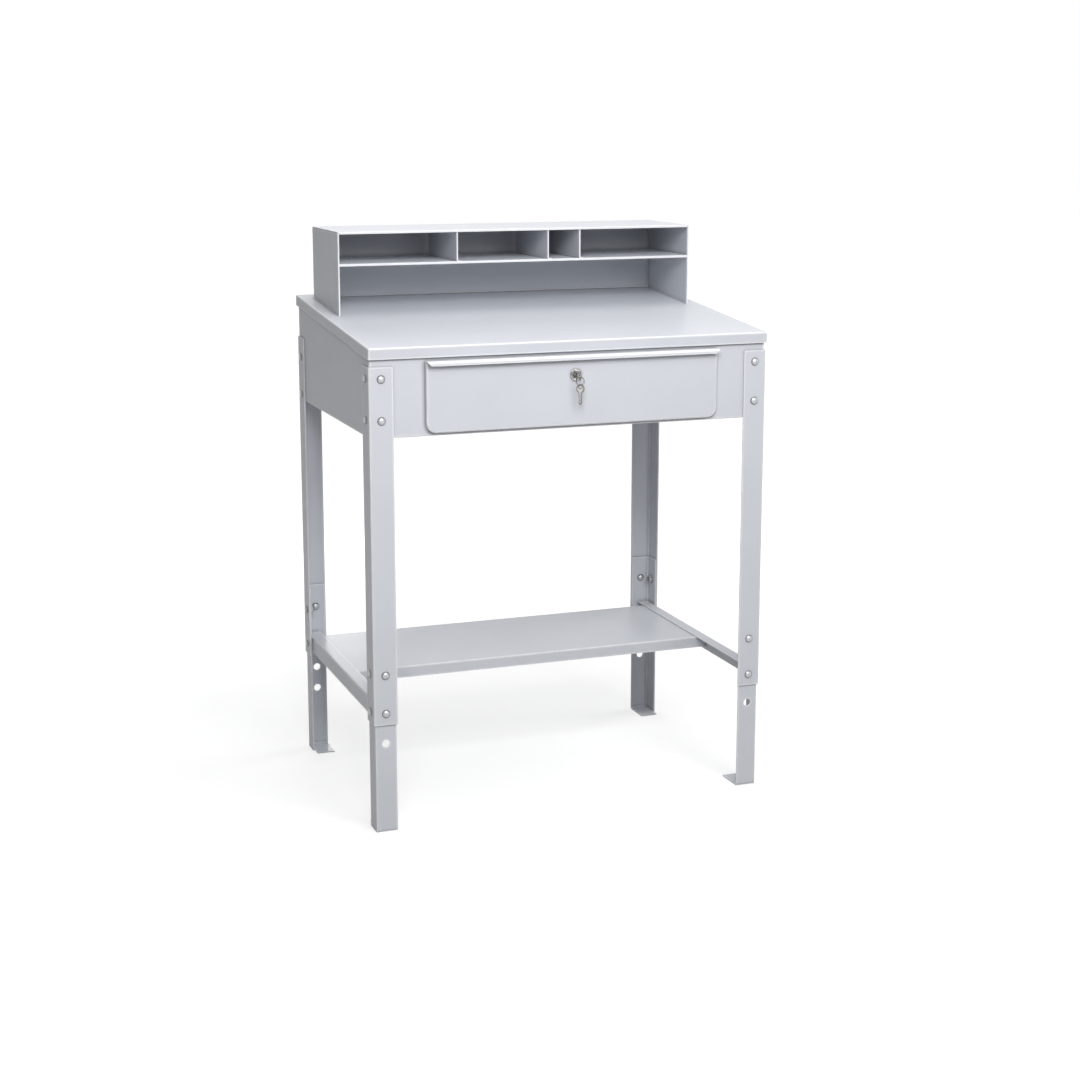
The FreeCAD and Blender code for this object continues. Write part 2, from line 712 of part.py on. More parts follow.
def drawer_front():
    """The drawer's front, a formed sheet with a rounded rim and the lock's hole."""
    outside = round_plate(drawer_outline(0), drawer_front_depth, BACK)
    outside.translate(BACK * drawer_face)
    inside = round_plate(drawer_outline(drawer_sheet), drawer_front_depth, BACK)
    inside.translate(BACK * drawer_inside)
    outside = front_rounded(outside, drawer_face, drawer_front_round)
    inside = front_rounded(inside, drawer_inside, drawer_front_round - drawer_sheet)
    return outside.cut(inside).cut(lock_hole())


def lock_hole():
    """The lock's hole through the drawer's front and inner front."""
    start = Vector(0, drawer_face - lock_body_length, lock_height)
    return rod(start, BACK, lock_body_radius + lock_hole_play, 2 * lock_body_length)


def drawer_pull():
    """The pull along the drawer front's upper edge, a lip bent over for the fingers with slanted ends."""
    top = drawer_high + pull_sheet
    tip = drawer_face - pull_reach
    path = [(drawer_rear_face, top), (tip, top), (tip, top - pull_height)]
    half = drawer_front_width / 2
    lip = bent_sheet(path, pull_sheet, pull_bend, across_x, -half, half)
    slant = Part.makePolygon([Vector(half, 0, drawer_high), Vector(half + pull_end_cut, 0, drawer_high),
                              Vector(half + pull_end_cut, 0, top - pull_height - pull_sheet),
                              Vector(half - pull_end_cut, 0, top - pull_height - pull_sheet),
                              Vector(half, 0, drawer_high)])
    wedge = Part.Face(slant).extrude(BACK * (pull_reach - pull_sheet))
    wedge.translate(BACK * (tip - pull_sheet))
    return lip.cut(wedge).cut(mirrored(wedge, RIGHT))


def rivet_spots():
    """Places of the rivets along a rail, as depths."""
    pitch = (box_back - rail_front) / rivets_per_rail
    return [rail_front + pitch * (i + 0.5) for i in range(rivets_per_rail)]


def rivet_holes():
    """Holes for the rails' rivets through both sides of the drawer."""
    middle = (rail_low + rail_high) / 2
    drills = [rod(Vector(-far, y, middle), RIGHT, rivet_radius, 2 * far) for y in rivet_spots()]
    return Part.makeCompound(drills)


def drawer_shell():
    """The drawer's floor and sides, folded from one sheet with the rims folded in."""
    path = [(-box_x + rim_fold, box_high), (-box_x, box_high), (-box_x, box_low),
            (box_x, box_low), (box_x, box_high), (box_x - rim_fold, box_high)]
    return bent_sheet(path, drawer_sheet, drawer_bend, across_y, drawer_inside, box_back).cut(rivet_holes())


def drawer_plate(face, flange):
    """A plate across the drawer whose flanges lie against its sides; flange is signed along Y."""
    half = box_x - drawer_sheet
    if flange > 0:
        path = [(-half, face + flange), (-half, face), (half, face), (half, face + flange)]
    else:
        path = [(half, face + flange), (half, face), (-half, face), (-half, face + flange)]
    low = box_low + drawer_sheet + drawer_bend
    high = box_high - drawer_sheet - drawer_bend
    return bent_sheet(path, drawer_sheet, drawer_bend, across_z, low, high)


def drawer_floor_tab(face, direction):
    """A tab that carries a plate's lower edge on the drawer's floor."""
    half = box_x - 2 * (drawer_sheet + drawer_bend) - plate_flange
    low = box_low + drawer_sheet
    sheet_side = face + direction * drawer_sheet
    tab_end = face + direction * plate_flange
    upright = block(-half, half, min(face, sheet_side), max(face, sheet_side), low, low + flange_strip)
    foot = block(-half, half, min(face, tab_end), max(face, tab_end), low, low + drawer_sheet)
    return upright.fuse(foot)


def drawer_inner_front():
    """The sheet behind the drawer's front, flanged to the sides and the floor."""
    plate = drawer_plate(drawer_inside, plate_flange)
    return plate.fuse(drawer_floor_tab(drawer_inside, 1)).cut(lock_hole()).removeSplitter()


def drawer_back():
    """The drawer's back, flanged forward to the sides and the floor."""
    plate = drawer_plate(box_back, -plate_flange)
    return plate.fuse(drawer_floor_tab(box_back, -1)).removeSplitter()


def drawer_rail():
    """The left rail, a channel riveted to the drawer's side and closed at its rear end."""
    inner = -box_x
    outer = inner - rail_reach
    path = [(outer, rail_low), (inner, rail_low), (inner, rail_high), (outer, rail_high)]
    channel = bent_sheet(path, drawer_sheet, drawer_bend, across_y, rail_front, box_back)
    end_plate = block(outer, inner - drawer_bend, box_back - drawer_sheet, box_back,
                      rail_low + drawer_sheet / 2, rail_high - drawer_sheet / 2)
    return channel.fuse(end_plate).removeSplitter().cut(rivet_holes())


def rail_rivets():
    """Rivets through the rails and the drawer's sides."""
    middle = (rail_low + rail_high) / 2
    rivets = []
    for side in (-1, 1):
        for y in rivet_spots():
            outward = Vector(side, 0, 0)
            inside = Vector(side * (box_x - drawer_sheet), y, middle)
            outside = Vector(side * (box_x + drawer_sheet), y, middle)
            shank = rod(inside, outward, rivet_radius, 2 * drawer_sheet)
            inner_seat = inside - outward * rivet_head_height
            inner_head = rod(inner_seat, outward, rivet_head_radius, rivet_head_height)
            outer_head = rod(outside, outward, rivet_head_radius, rivet_head_height)
            rivets.append(shank.fuse([inner_head, outer_head]).removeSplitter())
    return rivets


def drawer_runner():
    """The left runner, a channel from the front panel to the back panel, with a stop for the rail."""
    outer = -window_x - runner_sheet
    low = rail_low - runner_play - runner_sheet
    high = rail_high + runner_play + runner_sheet
    front = -panel_y + panel_sheet
    rear = panel_y - panel_sheet
    path = [(outer + runner_reach, high), (outer, high), (outer, low), (outer + runner_reach, low)]
    channel = bent_sheet(path, runner_sheet, runner_bend, across_y, front, rear)
    fold = runner_sheet + runner_bend
    front_tab = block(outer - runner_tab, outer + runner_sheet, front, front + runner_sheet,
                      low + fold, high - fold)
    rear_tab = block(outer - runner_tab, outer + runner_sheet, rear - runner_sheet, rear,
                     low + fold, high - fold)
    stop_rear = box_back - drawer_sheet - drawer_travel - stop_play
    middle = (rail_low + rail_high) / 2
    stop = block(-window_x - runner_sheet / 2, -window_x + stop_reach, stop_rear - stop_width, stop_rear,
                 middle - stop_width / 2, middle + stop_width / 2)
    return channel.fuse([front_tab, rear_tab, stop]).removeSplitter()


# Lock, keys and ring

def lock_body():
    """The lock's case: a round bezel on a bored barrel."""
    axis_start = Vector(0, bezel_face, lock_height)
    bezel = rod(axis_start, BACK, lock_bezel_radius, lock_bezel_height)
    bezel = front_rounded(bezel, bezel_face, lock_bezel_round)
    barrel = rod(axis_start, BACK, lock_body_radius, lock_rear - bezel_face)
    bore = rod(axis_start - BACK * lock_body_length, BACK, plug_radius + plug_play, 3 * lock_body_length)
    return bezel.fuse(barrel).removeSplitter().cut(bore)


def lock_nut():
    """The nut that clamps the lock behind the drawer's inner front."""
    seat = Vector(0, drawer_inside + drawer_sheet, lock_height)
    return aimed(hex_nut(lock_nut_width, lock_nut_height, lock_body_radius + nut_play), seat, BACK)


def lock_plug():
    """The turning plug, with its keyway in front and a square spigot for the cam behind."""
    plug = rod(Vector(0, plug_face, lock_height), BACK, plug_radius, lock_rear - plug_face)
    half = spigot_width / 2
    spigot = block(-half, half, lock_rear, cam_rear, lock_height - half, lock_height + half)
    slot_x = key_sheet / 2 + keyway_play
    slot_z = key_blade_width / 2 + keyway_play
    keyway = block(-slot_x, slot_x, plug_face - keyway_play, plug_face + key_blade_length + keyway_play,
                   lock_height - slot_z, lock_height + slot_z)
    thread = rod(Vector(0, cam_rear - cam_screw_length, lock_height), BACK, cam_screw_radius + nut_play,
                 2 * cam_screw_length)
    return plug.fuse(spigot).removeSplitter().cut(keyway).cut(thread)


def lock_cam():
    """The cam, a round-ended plate on the plug's spigot that points to the left when unlocked."""
    half = cam_width / 2
    tip = -cam_reach + half
    bar = block(tip, 0, lock_rear, cam_rear, lock_height - half, lock_height + half)
    ends = [rod(Vector(x, lock_rear, lock_height), BACK, half, cam_sheet) for x in (tip, 0)]
    spigot_half = spigot_width / 2 + nut_play
    hole = block(-spigot_half, spigot_half, lock_rear - cam_sheet, cam_rear + cam_sheet,
                 lock_height - spigot_half, lock_height + spigot_half)
    return bar.fuse(ends).removeSplitter().cut(hole)


def cam_screw():
    """The screw that holds the cam on the plug."""
    head = rod(Vector(0, cam_rear, lock_height), BACK, cam_screw_head_radius, cam_screw_head_height)
    shank = rod(Vector(0, cam_rear, lock_height), Vector(0, -1, 0), cam_screw_radius,
                cam_screw_length - cam_screw_radius)
    return head.fuse(shank).removeSplitter()


def key_shape():
    """A flat key in the plane square to X: its neck starts at the origin and its blade runs along +Y."""
    bow = rod(Vector(-key_sheet / 2, -key_neck - key_bow_radius, 0), RIGHT, key_bow_radius, key_sheet)
    half = key_blade_width / 2
    neck = block(-key_sheet / 2, key_sheet / 2, -key_neck - key_bow_radius / 2, 0, -half, half)
    tip = key_blade_length - half
    blade_outline = [(0, -half), (tip, -half), (key_blade_length, 0), (tip, half), (0, half), (0, -half)]
    outline = Part.makePolygon([Vector(-key_sheet / 2, y, z) for y, z in blade_outline])
    blade = Part.Face(outline).extrude(RIGHT * key_sheet)
    key = bow.fuse([neck, blade]).removeSplitter()
    pitch = tip / (key_cuts + 1)
    for i in range(key_cuts):
        cut_y = pitch * (i + 1)
        depth = key_cut_depth * (1 if i % 2 == 0 else 0.6)
        notch = Part.makePolygon([Vector(-key_sheet, cut_y - pitch / 2, -half - key_cut_depth),
                                  Vector(-key_sheet, cut_y - pitch / 8, -half + depth),
                                  Vector(-key_sheet, cut_y + pitch / 8, -half + depth),
                                  Vector(-key_sheet, cut_y + pitch / 2, -half - key_cut_depth),
                                  Vector(-key_sheet, cut_y - pitch / 2, -half - key_cut_depth)])
        key = key.cut(Part.Face(notch).extrude(RIGHT * (2 * key_sheet)))
    hole = rod(Vector(-key_sheet, -key_neck - key_bow_radius - key_hole_offset, 0), RIGHT,
               key_hole_radius, 2 * key_sheet)
    return key.cut(hole)


def inserted_key():
    """The key in the lock, upright when the drawer is unlocked."""
    key = key_shape()
    key.translate(Vector(0, plug_face, lock_height))
    return key


def key_ring():
    """The ring that hangs in the inserted key's bow, parallel to the drawer's face."""
    middle = Vector(0, bow_hole, lock_height - ring_middle_drop)
    return Part.makeTorus(ring_inner_radius + ring_wire_radius, ring_wire_radius, middle, BACK)


def spare_key():
    """The second key, hanging from the ring with its blade down."""
    key = key_shape()
    key.rotate(Vector(0, 0, 0), RIGHT, -90)
    hole_middle = key_neck + key_bow_radius + key_hole_offset
    key.rotate(Vector(0, 0, 0), UP, spare_key_turn)
    key.translate(Vector(0, bow_hole, spare_hole_top - key_hole_radius - hole_middle))
    return key


# All the pieces by name
parts = {}
corners = {"front_left": (False, False), "front_right": (True, False),
           "rear_left": (False, True), "rear_right": (True, True)}
for corner_name, (right_side, rear_end) in corners.items():
    upper = upper_leg(rear_bolt_heights if rear_end else body_bolt_heights)
    lower = lower_leg(rear_free_holes if rear_end else front_free_holes)
    if right_side:
        upper = mirrored(upper, RIGHT)
        lower = mirrored(lower, RIGHT)
    if rear_end:
        upper = mirrored(upper, BACK)
        lower = mirrored(lower, BACK)
    parts["upper_leg_" + corner_name] = [upper]
    parts["lower_leg_" + corner_name] = [lower]

body_front_grip = leg_sheet + 2 * panel_sheet
body_side_grip = leg_sheet + panel_sheet
leg_grip = 2 * leg_sheet
body_bolts, body_nuts = corner_bolts(body_bolt_heights, rear_bolt_heights, body_front_grip, body_side_grip)
upper_bolts, upper_nuts = corner_bolts(leg_bolt_heights[1:], leg_bolt_heights[1:], leg_grip, leg_grip,
                                       rear_heads_inside=True)
lower_bolts, lower_nuts = corner_bolts(leg_bolt_heights[:1], leg_bolt_heights[:1], leg_grip,
                                       leg_grip + stringer_sheet, rear_heads_inside=True)
parts["body_bolts"] = body_bolts
parts["body_nuts"] = body_nuts
parts["leg_bolts"] = upper_bolts + lower_bolts
parts["leg_nuts"] = upper_nuts + lower_nuts

parts["desk_top"] = [desk_top()]
parts["front_panel"] = [front_panel()]
parts["back_panel"] = [back_panel()]
parts["lower_shelf"] = [lower_shelf()]
for name, left_piece in (("side_panel", side_panel()), ("stringer", stringer()),
                         ("riser_side", riser_side()), ("drawer_rail", drawer_rail()),
                         ("drawer_runner", drawer_runner())):
    parts[name + "_left"] = [left_piece]
    parts[name + "_right"] = [mirrored(left_piece, RIGHT)]
parts["riser_top"] = [riser_top()]
parts["riser_back"] = [riser_back_panel()]
parts["riser_shelf"] = [riser_shelf()]
for number, divider_place in enumerate(divider_places, 1):
    parts["riser_divider_" + str(number)] = [riser_divider(divider_place)]
parts["riser_screws"] = riser_screw_set()
parts["drawer_front"] = [drawer_front()]
parts["drawer_pull"] = [drawer_pull()]
parts["drawer_shell"] = [drawer_shell()]
parts["drawer_inner_front"] = [drawer_inner_front()]
parts["drawer_back"] = [drawer_back()]
parts["rail_rivets"] = rail_rivets()
parts["lock_body"] = [lock_body()]
parts["lock_nut"] = [lock_nut()]
parts["lock_plug"] = [lock_plug()]
parts["lock_cam"] = [lock_cam()]
parts["cam_screw"] = [cam_screw()]
parts["key"] = [inserted_key()]
parts["key_ring"] = [key_ring()]
parts["spare_key"] = [spare_key()]

os.makedirs("parts", exist_ok=True)
for name, solids in parts.items():
    shape = Part.makeCompound(solids) if len(solids) > 1 else solids[0]
    shape.translate(box_shift)
    shape.exportStep("parts/" + name + ".step")
    print(name, len(shape.Solids), round(sum(solid.Volume for solid in shape.Solids), 1), shape.isValid())
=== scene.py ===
import math

import bpy
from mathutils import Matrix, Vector


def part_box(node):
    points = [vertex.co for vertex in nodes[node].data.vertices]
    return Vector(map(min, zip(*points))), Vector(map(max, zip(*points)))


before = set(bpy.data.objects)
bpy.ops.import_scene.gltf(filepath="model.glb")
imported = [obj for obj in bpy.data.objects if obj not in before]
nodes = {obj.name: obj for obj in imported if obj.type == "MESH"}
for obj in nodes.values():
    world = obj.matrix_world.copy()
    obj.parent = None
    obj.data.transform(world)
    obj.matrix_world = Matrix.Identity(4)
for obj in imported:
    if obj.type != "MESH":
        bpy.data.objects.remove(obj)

scene = bpy.context.scene
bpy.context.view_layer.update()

# Which pieces take which finish; all others are painted
BOLTS = ("body_bolts", "leg_bolts")
ZINC = ("body_nuts", "leg_nuts", "riser_screws", "rail_rivets",
        "drawer_rail_left", "drawer_rail_right", "drawer_runner_left", "drawer_runner_right")
CHROME = ("lock_body", "lock_plug")
NICKEL = ("lock_nut", "lock_cam", "cam_screw", "key", "key_ring", "spare_key")

# Powder coat: noise scales per metre; widths, reaches and depths in metres
PAINT_COLOUR = (0.664, 0.685, 0.728)
# Painted highlight: this near-white colour is laid on sharp edges and bends of the paint
EDGE_HIGHLIGHT_COLOUR = (0.88, 0.89, 0.905)
# Painted shade: this dark colour is laid into the paint in creases and where pieces meet
CREASE_SHADE_COLOUR = (0.20, 0.205, 0.215)
CLOUDS = {"scale": 7.0, "detail": 4.0, "roughness": 0.55}
CLOUD_SHADE = 0.965
# Reach, span and amount of the painted shade in creases and joints
CREASE_SHADE_REACH = 0.009
CREASE_SHADE_SPAN = (0.35, 0.95)
CREASE_SHADE_AMOUNT = 0.75
# Noise, span and strengths that break up the painted highlight, then its width along sharp edges
HIGHLIGHT_NOISE = {"scale": 38.0, "detail": 5.0, "roughness": 0.6}
HIGHLIGHT_NOISE_SPAN = (0.25, 0.6)
HIGHLIGHT_AMOUNTS = (0.6, 1.0)
HIGHLIGHT_EDGE_WIDTH = 0.006
GLOSS = {"scale": 55.0, "detail": 4.0, "roughness": 0.6}
PAINT_ROUGHNESS = (0.40, 0.50)
PEEL = {"scale": 620.0, "detail": 2.0, "roughness": 0.5}
PEEL_STRENGTH = 0.10
PEEL_DEPTH = 0.00025
PAINT_SPECULAR = 0.2
COAT_WEIGHT = 0.14
COAT_ROUGHNESS = 0.14

# Plating: noise scales per metre; depths in metres
ZINC_COLOUR = (0.56, 0.57, 0.59)
CHROME_COLOUR = (0.72, 0.71, 0.71)
NICKEL_COLOUR = (0.66, 0.64, 0.63)
PATCHES = {"scale": 160.0, "detail": 4.0, "roughness": 0.6}
PATCH_SPAN = (0.35, 0.7)
PATCH_SHADE = 0.86
# Painted shade where a plated piece meets its neighbours: colour, span and amount
SEAT_SHADE_COLOUR = (0.10, 0.10, 0.105)
SEAT_SHADE_SPAN = (0.3, 0.9)
SEAT_SHADE_AMOUNT = 0.8
# Painted shade: a near-black outline laid along the edges and rims of plated pieces
EDGE_SHADE_COLOUR = (0.05, 0.048, 0.045)
GRAIN = {"scale": 900.0, "detail": 3.0, "roughness": 0.6}
GRAIN_STRENGTH = 0.06
GRAIN_DEPTH = 0.0001
SMOOTHEST_SHARE = 0.75
ROUGHEST_SHARE = 1.3

# The middle of a noise's values, and the cosines at which an edge or a bend begins to show and is full
NOISE_MIDDLE = (0.3, 0.7)
EDGE_SPAN = (0.985, 0.95)
BEND_SPAN = (0.975, 0.88)
EDGE_SAMPLES = 6
OPENNESS_SAMPLES = 4

# Floor: half its side, its distance under the feet and its fade, in metres from the frame's origin
FLOOR_REACH = 20.0
FLOOR_DROP = 0.0005
FLOOR_COLOURS = ((0.50, 0.50, 0.505), (0.53, 0.53, 0.53))
FLOOR_PATCHES = {"scale": 3.0, "detail": 3.0, "roughness": 0.5}
FLOOR_ROUGHNESS = 0.9
FADE_SPAN = (0.9, 2.6)
FADE_GLOW = (0.63, 1.0)

# World: the colour that is seen, and the faint light that falls on the desk
BACKDROP_COLOUR = (1.0, 1.0, 1.0, 1.0)
AMBIENT_COLOUR = (0.98, 0.99, 1.0, 1.0)
AMBIENT_STRENGTH = 0.12

# Lights: name, place, what it faces, side in metres, power in watts
LIGHTS = (("key", (-0.1, -1.75, 2.9), (0.0, -0.1, 0.7), 1.4, 14.0),
          ("left_key", (-0.9, -2.2, 2.2), (0.0, -0.1, 0.8), 0.8, 24.0),
          ("front", (0.35, -2.4, 2.2), (0.0, -0.1, 0.7), 1.4, 30.0),
          ("top", (0.1, 0.0, 3.3), (0.0, 0.0, 0.7), 1.6, 20.0),
          ("rear", (0.0, 2.1, 3.0), (0.0, 0.0, 0.5), 1.2, 14.0),
          ("rear_fill", (0.0, 2.6, 0.62), (0.0, 0.0, 0.6), 0.8, 9.0),
          ("right", (3.0, 0.6, 1.5), (0.0, 0.0, 0.6), 1.8, 31.0))

# Camera at the photograph's angle, placed in metres from the middle of the legs' footprint
YAW = math.radians(-20.21)
PITCH = math.radians(10.92)
CAMERA_OFFSET = Vector((-1.39622, -3.88977, 1.43788))
SENSOR_WIDTH = 36.0
FOCAL_LENGTH_PIXELS = 1910.85
PHOTO_WIDTH_PIXELS = 1080.0
FRAMING_SHIFT = -0.05
VIEW_REACH = 100.0


# Material building

class Shader:
    """A node material with one Principled shader and short helpers for its procedural detail."""

    def __init__(self, name):
        self.material = bpy.data.materials.new(name)
        self.material.use_nodes = True
        self.tree = self.material.node_tree
        self.tree.nodes.clear()
        self.output = self.add("ShaderNodeOutputMaterial")
        self.surface = self.add("ShaderNodeBsdfPrincipled")
        self.link(self.surface.outputs["BSDF"], self.output.inputs["Surface"])
        coordinates = self.add("ShaderNodeTexCoord")
        self.place = coordinates.outputs["Object"]
        self.normal = coordinates.outputs["Normal"]

    def add(self, kind, **settings):
        node = self.tree.nodes.new(kind)
        for key, value in settings.items():
            setattr(node, key, value)
        return node

    def link(self, source, target):
        self.tree.links.new(source, target)

    def noise(self, scale, detail, roughness, stretch=None):
        """Fractal noise in metres; stretch squeezes it along an axis."""
        node = self.add("ShaderNodeTexNoise")
        node.inputs["Scale"].default_value = scale
        node.inputs["Detail"].default_value = detail
        node.inputs["Roughness"].default_value = roughness
        if stretch:
            mapping = self.add("ShaderNodeMapping")
            mapping.inputs["Scale"].default_value = stretch
            self.link(self.place, mapping.inputs["Vector"])
            self.link(mapping.outputs["Vector"], node.inputs["Vector"])
        else:
            self.link(self.place, node.inputs["Vector"])
        return node.outputs["Fac"]

    def ramp(self, source, span, result):
        """Maps a value from one range to another, clamped."""
        node = self.add("ShaderNodeMapRange")
        node.inputs["From Min"].default_value = span[0]
        node.inputs["From Max"].default_value = span[1]
        node.inputs["To Min"].default_value = result[0]
        node.inputs["To Max"].default_value = result[1]
        self.link(source, node.inputs["Value"])
        return node.outputs["Result"]

    def times(self, first, second):
        """Multiplies a value by a number or by another value."""
        node = self.add("ShaderNodeMath", operation="MULTIPLY")
        self.link(first, node.inputs[0])
        if isinstance(second, float):
            node.inputs[1].default_value = second
        else:
            self.link(second, node.inputs[1])
        return node.outputs["Value"]

    def larger(self, first, second):
        node = self.add("ShaderNodeMath", operation="MAXIMUM")
        self.link(first, node.inputs[0])
        self.link(second, node.inputs[1])
        return node.outputs["Value"]

    def mix(self, factor, first, second):
        """Mixes two colours, each a tuple or a socket."""
        node = self.add("ShaderNodeMix", data_type="RGBA")
        self.link(factor, node.inputs["Factor"])
        sockets = [s for s in node.inputs if s.type == "RGBA"]
        for socket, value in zip(sockets, (first, second)):
            if isinstance(value, tuple):
                socket.default_value = (*value, 1.0)
            else:
                self.link(value, socket)
        return [s for s in node.outputs if s.type == "RGBA"][0]

    def edges(self, radius):
        """1 on sharp edges and tight bends, 0 on flat sheet."""
        rounded = self.add("ShaderNodeBevel", samples=EDGE_SAMPLES)
        rounded.inputs["Radius"].default_value = radius
        flat = self.add("ShaderNodeNewGeometry")
        dot = self.add("ShaderNodeVectorMath", operation="DOT_PRODUCT")
        self.link(rounded.outputs["Normal"], dot.inputs[0])
        self.link(flat.outputs["Normal"], dot.inputs[1])
        return self.ramp(dot.outputs["Value"], EDGE_SPAN, (0.0, 1.0))

    def bends(self):
        """1 on the round of a bend, 0 on flat sheet, which lies square to an axis or nearly so."""
        split = self.add("ShaderNodeSeparateXYZ")
        self.link(self.normal, split.inputs["Vector"])
        sizes = []
        for axis in ("X", "Y", "Z"):
            size = self.add("ShaderNodeMath", operation="ABSOLUTE")
            self.link(split.outputs[axis], size.inputs[0])
            sizes.append(size.outputs["Value"])
        steepest = self.larger(self.larger(sizes[0], sizes[1]), sizes[2])
        return self.ramp(steepest, BEND_SPAN, (0.0, 1.0))

    def openness(self, reach):
        """0 deep in a joint between two pieces, 1 in the open."""
        node = self.add("ShaderNodeAmbientOcclusion", samples=OPENNESS_SAMPLES)
        node.inputs["Distance"].default_value = reach
        return node.outputs["AO"]

    def bump(self, height, strength, distance):
        node = self.add("ShaderNodeBump")
        node.inputs["Strength"].default_value = strength
        node.inputs["Distance"].default_value = distance
        self.link(height, node.inputs["Height"])
        self.link(node.outputs["Normal"], self.surface.inputs["Normal"])

    def set(self, **values):
        for key, value in values.items():
            self.surface.inputs[key.replace("_", " ")].default_value = value

    def feed(self, socket, source):
        self.link(source, self.surface.inputs[socket])


def shaded(colour, share):
    """The colour, darkened to a share of itself."""
    return tuple(c * share for c in colour)


def powder_coat(name, colour, highlight_colour, crease_shade_colour):
    """Satin powder coat: fine orange peel, faint clouding, painted highlights on edges and bends, and
    painted shade in its creases and joints.
    """
    shader = Shader(name)
    clouds = shader.ramp(shader.noise(**CLOUDS), NOISE_MIDDLE, (0.0, 1.0))
    sheet = shader.mix(clouds, shaded(colour, CLOUD_SHADE), colour)
    # Painted shade: the paint darkens towards the dark colour in creases and where pieces meet, by
    # ambient occlusion
    joint = shader.ramp(shader.openness(CREASE_SHADE_REACH), CREASE_SHADE_SPAN, (1.0, 0.0))
    sheet = shader.mix(shader.times(joint, CREASE_SHADE_AMOUNT), sheet, crease_shade_colour)
    # Painted highlight: sharp edges and bends turn near-white in patches
    highlight_strength = shader.ramp(shader.noise(**HIGHLIGHT_NOISE), HIGHLIGHT_NOISE_SPAN, HIGHLIGHT_AMOUNTS)
    highlight = shader.times(shader.larger(shader.edges(HIGHLIGHT_EDGE_WIDTH), shader.bends()), highlight_strength)
    shader.feed("Base Color", shader.mix(highlight, sheet, highlight_colour))
    shader.feed("Roughness", shader.ramp(shader.noise(**GLOSS), NOISE_MIDDLE, PAINT_ROUGHNESS))
    shader.bump(shader.noise(**PEEL), PEEL_STRENGTH, PEEL_DEPTH)
    shader.set(Specular_IOR_Level=PAINT_SPECULAR, Coat_Weight=COAT_WEIGHT, Coat_Roughness=COAT_ROUGHNESS)
    return shader.material


def plated(name, colour, metallic, roughness, seat_reach, edge_shade, edge_shade_width, streak=None):
    """Plated metal: a fine grain, squeezed by streak, duller patches, painted shade at its seat and a
    painted dark outline along its edges.
    """
    shader = Shader(name)
    shader.set(Metallic=metallic)
    dull = shader.ramp(shader.noise(**PATCHES), PATCH_SPAN, (0.0, 1.0))
    metal = shader.mix(dull, colour, shaded(colour, PATCH_SHADE))
    # Painted shade: the metal darkens where it meets the pieces around it
    seat = shader.ramp(shader.openness(seat_reach), SEAT_SHADE_SPAN, (SEAT_SHADE_AMOUNT, 0.0))
    metal = shader.mix(seat, metal, SEAT_SHADE_COLOUR)
    # Painted shade: a dark outline along edges and rims
    edge_shade_mask = shader.times(shader.edges(edge_shade_width), edge_shade)
    shader.feed("Base Color", shader.mix(edge_shade_mask, metal, EDGE_SHADE_COLOUR))
    grain = shader.noise(**GRAIN, stretch=streak)
    roughness_range = (roughness * SMOOTHEST_SHARE, roughness * ROUGHEST_SHARE)
    shader.feed("Roughness", shader.ramp(grain, NOISE_MIDDLE, roughness_range))
    shader.bump(grain, GRAIN_STRENGTH, GRAIN_DEPTH)
    return shader.material


# Finishes

grey_paint = powder_coat("grey_powder_coat", PAINT_COLOUR, EDGE_HIGHLIGHT_COLOUR, CREASE_SHADE_COLOUR)
# The last arguments set each plated finish's painted seat shade and its painted dark outline on edges
bolt_zinc = plated("bolt_zinc", ZINC_COLOUR, metallic=0.45, roughness=0.30,
                   seat_reach=0.006, edge_shade=0.85, edge_shade_width=0.005)
zinc = plated("zinc_plate", ZINC_COLOUR, metallic=0.6, roughness=0.36,
              seat_reach=0.004, edge_shade=0.6, edge_shade_width=0.0012)
chrome = plated("lock_chrome", CHROME_COLOUR, metallic=1.0, roughness=0.12,
                seat_reach=0.004, edge_shade=0.95, edge_shade_width=0.004, streak=(1.0, 6.0, 1.0))
nickel = plated("key_nickel", NICKEL_COLOUR, metallic=1.0, roughness=0.18,
                seat_reach=0.002, edge_shade=0.9, edge_shade_width=0.006, streak=(1.0, 1.0, 5.0))

finishes = {}
for names, finish in ((BOLTS, bolt_zinc), (ZINC, zinc), (CHROME, chrome), (NICKEL, nickel)):
    for name in names:
        finishes[name] = finish
for name, piece in nodes.items():
    piece.data.materials.clear()
    piece.data.materials.append(finishes.get(name, grey_paint))


# Floor and world

def seen_rays(tree):
    """1 where the camera sees a surface, straight or in metal or glass."""
    rays = tree.nodes.new("ShaderNodeLightPath")
    seen = rays.outputs["Is Camera Ray"]
    for name in ("Is Glossy Ray", "Is Transmission Ray"):
        either = tree.nodes.new("ShaderNodeMath")
        either.operation = "MAXIMUM"
        tree.links.new(seen, either.inputs[0])
        tree.links.new(rays.outputs[name], either.inputs[1])
        seen = either.outputs["Value"]
    return seen


def floor_material():
    """A pale floor that shows the desk's soft shadow and fades to white away from it."""
    shader = Shader("pale_floor")
    shader.feed("Base Color", shader.mix(shader.noise(**FLOOR_PATCHES), *FLOOR_COLOURS))
    shader.set(Roughness=FLOOR_ROUGHNESS, Specular_IOR_Level=0.0)
    distance = shader.add("ShaderNodeVectorMath", operation="LENGTH")
    shader.link(shader.place, distance.inputs[0])
    fade = shader.ramp(distance.outputs["Value"], FADE_SPAN, FADE_GLOW)
    glow = shader.add("ShaderNodeEmission")
    shader.link(shader.times(seen_rays(shader.tree), fade), glow.inputs["Strength"])
    both = shader.add("ShaderNodeAddShader")
    shader.link(shader.surface.outputs["BSDF"], both.inputs[0])
    shader.link(glow.outputs["Emission"], both.inputs[1])
    shader.link(both.outputs["Shader"], shader.output.inputs["Surface"])
    return shader.material


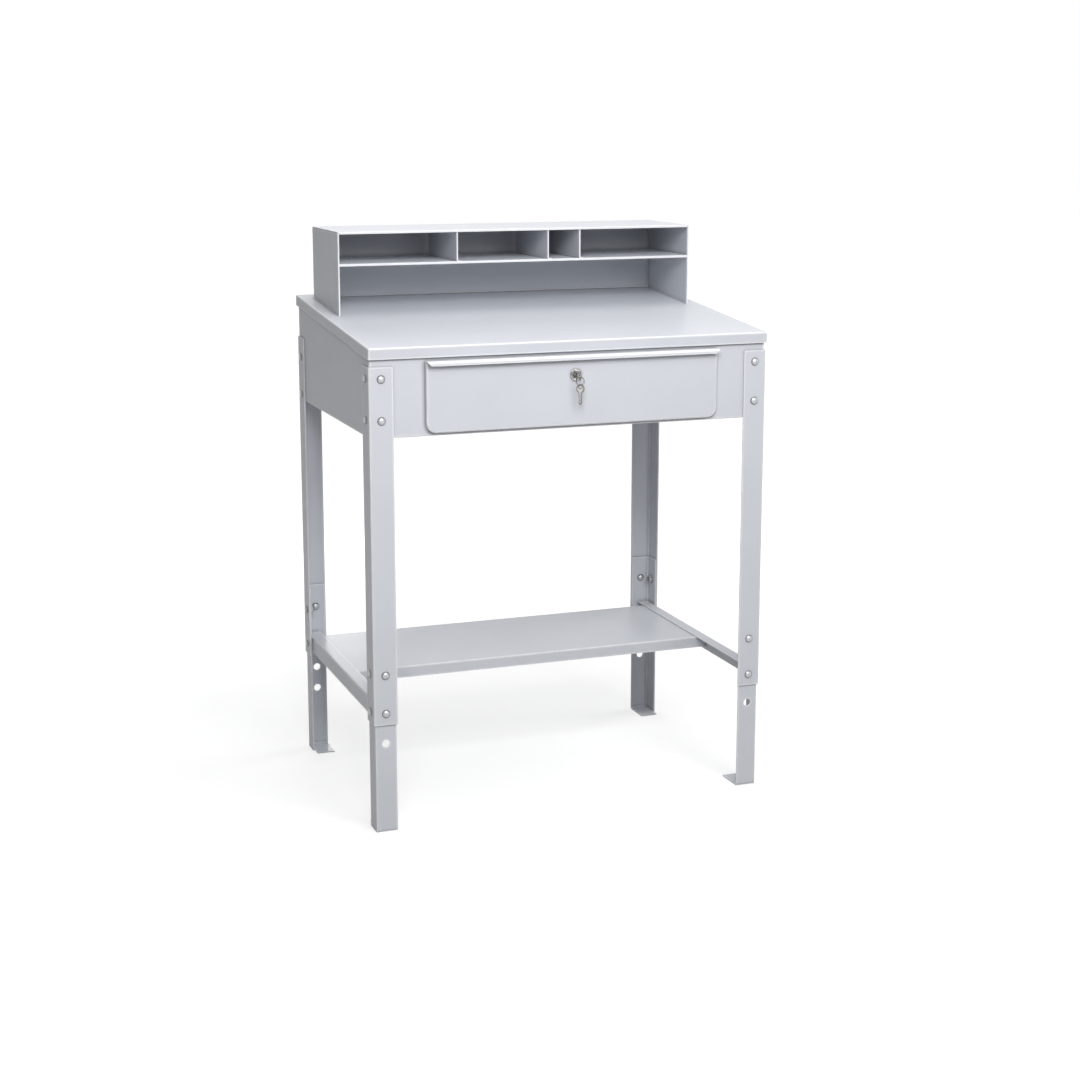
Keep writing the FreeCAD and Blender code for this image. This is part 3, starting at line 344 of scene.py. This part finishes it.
corners = [(-FLOOR_REACH, -FLOOR_REACH, 0), (FLOOR_REACH, -FLOOR_REACH, 0),
           (FLOOR_REACH, FLOOR_REACH, 0), (-FLOOR_REACH, FLOOR_REACH, 0)]
floor_mesh = bpy.data.meshes.new("floor")
floor_mesh.from_pydata(corners, [], [(0, 1, 2, 3)])
floor_mesh.materials.append(floor_material())
floor = bpy.data.objects.new("floor", floor_mesh)
floor.location.z = -FLOOR_DROP
scene.collection.objects.link(floor)

world = bpy.data.worlds.new("studio")
scene.world = world
world.use_nodes = True
sky = world.node_tree
sky.nodes.clear()
sky_output = sky.nodes.new("ShaderNodeOutputWorld")
ambient = sky.nodes.new("ShaderNodeBackground")
ambient.inputs["Color"].default_value = AMBIENT_COLOUR
ambient.inputs["Strength"].default_value = AMBIENT_STRENGTH
backdrop = sky.nodes.new("ShaderNodeBackground")
backdrop.inputs["Color"].default_value = BACKDROP_COLOUR
choose = sky.nodes.new("ShaderNodeMixShader")
sky.links.new(seen_rays(sky), choose.inputs["Fac"])
sky.links.new(ambient.outputs["Background"], choose.inputs[1])
sky.links.new(backdrop.outputs["Background"], choose.inputs[2])
sky.links.new(choose.outputs["Shader"], sky_output.inputs["Surface"])


# Lamps and camera

def soft_light(name, place, target, side, power):
    """A square soft box that faces a point."""
    data = bpy.data.lights.new(name, "AREA")
    data.shape = "SQUARE"
    data.size = side
    data.energy = power
    lamp = bpy.data.objects.new(name, data)
    lamp.location = place
    lamp.rotation_euler = (Vector(target) - Vector(place)).to_track_quat("-Z", "Y").to_euler()
    scene.collection.objects.link(lamp)


for light in LIGHTS:
    soft_light(*light)

front_low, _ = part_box("upper_leg_front_left")
_, rear_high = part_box("upper_leg_rear_right")
middle = Vector(((front_low[0] + rear_high[0]) / 2, (front_low[1] + rear_high[1]) / 2, 0.0))
camera_data = bpy.data.cameras.new("camera")
camera_data.sensor_width = SENSOR_WIDTH
camera_data.lens = FOCAL_LENGTH_PIXELS / PHOTO_WIDTH_PIXELS * SENSOR_WIDTH
camera_data.shift_y = FRAMING_SHIFT
camera_data.clip_end = VIEW_REACH
camera = bpy.data.objects.new("camera", camera_data)
camera.location = middle + CAMERA_OFFSET
facing = Vector((-math.sin(YAW) * math.cos(PITCH), math.cos(YAW) * math.cos(PITCH), -math.sin(PITCH)))
camera.rotation_euler = facing.to_track_quat("-Z", "Y").to_euler()
scene.collection.objects.link(camera)
scene.camera = camera

scene.view_settings.view_transform = "Standard"
